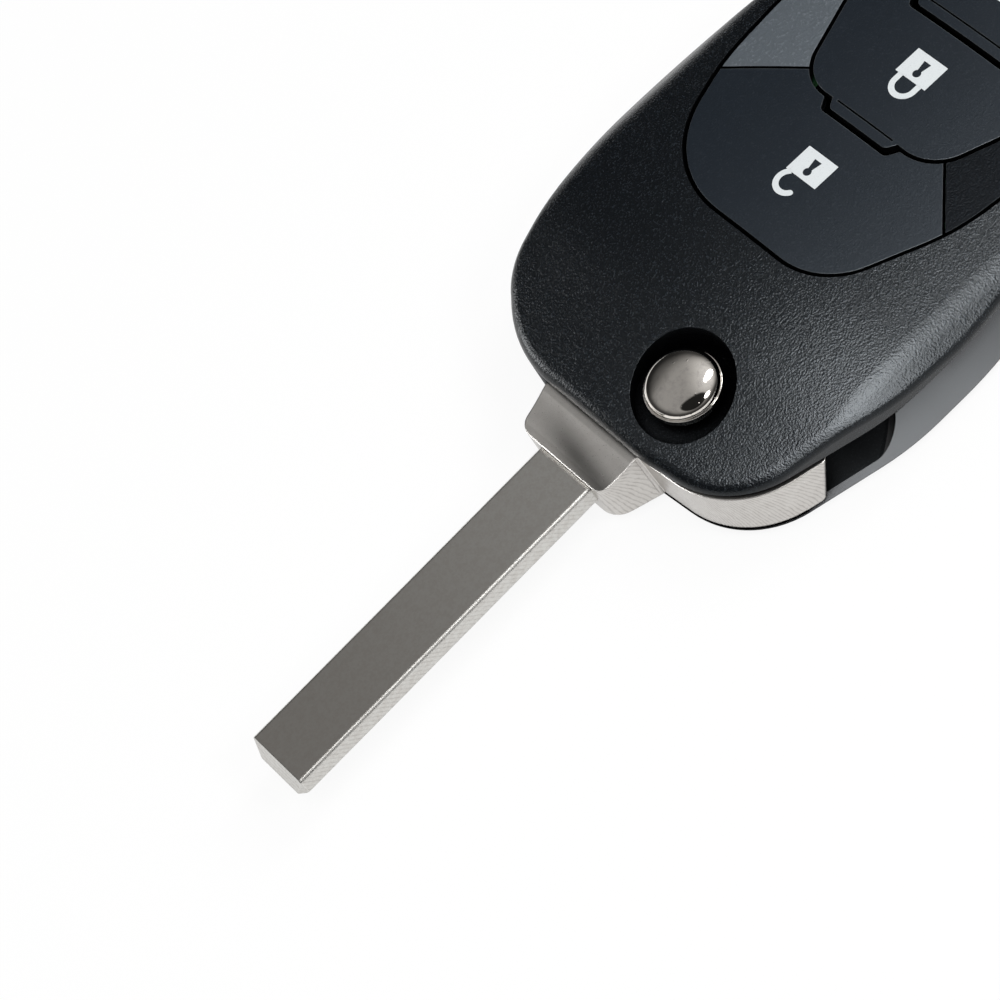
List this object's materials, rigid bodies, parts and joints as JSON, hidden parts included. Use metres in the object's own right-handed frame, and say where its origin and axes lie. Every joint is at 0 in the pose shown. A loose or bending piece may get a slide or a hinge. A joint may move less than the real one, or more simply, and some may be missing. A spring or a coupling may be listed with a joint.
{
  "type": "flip remote key",
  "caption": "Car flip remote key with its plain uncut blade swung out, lock, unlock and boot buttons, and a chrome release button.",
  "frame": {"origin": "middle of the whole key with its blade out, on the surface that its flat back rests on", "axes": "+Z out of the buttons, +X from the blade to the key-ring end, +Y away from the blade's pivot"},
  "size_m": [0.1208, 0.0463, 0.0142],
  "materials": {
    "case_plastic": "fine spark-eroded grain, blue-black",
    "pad_plastic": "fine grain, blue-black",
    "inner_plastic": "plain moulded",
    "board_laminate": "green solder mask",
    "switch_metal": "tinned can",
    "mat_rubber": "silicone sheet",
    "chip_plastic": "moulded package",
    "cell_steel": "bright nickel",
    "contact_metal": "spring strip",
    "carrier_metal": "milled nickel, satin",
    "blade_steel": "satin nickel, milled edges",
    "button_chrome": "bright chrome",
    "spring_steel": "music wire"
  },
  "bodies": {
    "case": {"front_case": "case_plastic", "rear_case": "case_plastic", "board_tray": "inner_plastic", "circuit_board": "board_laminate", "unlock_switch": "switch_metal", "lock_switch": "switch_metal", "boot_switch": "switch_metal", "keypad_mat": "mat_rubber", "left_panel": "pad_plastic", "right_panel": "pad_plastic", "radio_chip": "chip_plastic", "crystal": "switch_metal", "antenna_coil": "chip_plastic", "coin_cell": "cell_steel", "plus_contact": "contact_metal", "minus_contact": "contact_metal", "flip_spring": "spring_steel"},
    "blade": {"blade_carrier": "carrier_metal", "key_blade": "blade_steel", "blade_pin": "blade_steel"},
    "release": {"release_button": "button_chrome", "latch_plunger": "inner_plastic"},
    "unlock": {"unlock_button": "pad_plastic"},
    "lock": {"lock_button": "pad_plastic"},
    "boot": {"boot_button": "pad_plastic"}
  },
  "joints": [
    {"name": "blade_flip", "type": "hinge", "parent": "case", "child": "blade", "pos_m": [-0.00685, -0.0058, 0.0049], "axis": [0, 0, 1], "range_deg": [0, 180], "stiffness_Nm_per_rad": 0.002},
    {"name": "release_press", "type": "slide", "parent": "case", "child": "release", "axis": [0, 0, -1], "range_m": [0, 0.0012], "stiffness_N_per_m": 800, "deforming": ["flip_spring"]},
    {"name": "unlock_press", "type": "slide", "parent": "case", "child": "unlock", "axis": [0, 0, -1], "range_m": [0, 0.0004], "stiffness_N_per_m": 1500, "deforming": ["keypad_mat"]},
    {"name": "lock_press", "type": "slide", "parent": "case", "child": "lock", "axis": [0, 0, -1], "range_m": [0, 0.0004], "stiffness_N_per_m": 1500, "deforming": ["keypad_mat"]},
    {"name": "boot_press", "type": "slide", "parent": "case", "child": "boot", "axis": [0, 0, -1], "range_m": [0, 0.0004], "stiffness_N_per_m": 1500, "deforming": ["keypad_mat"]}
  ]
}
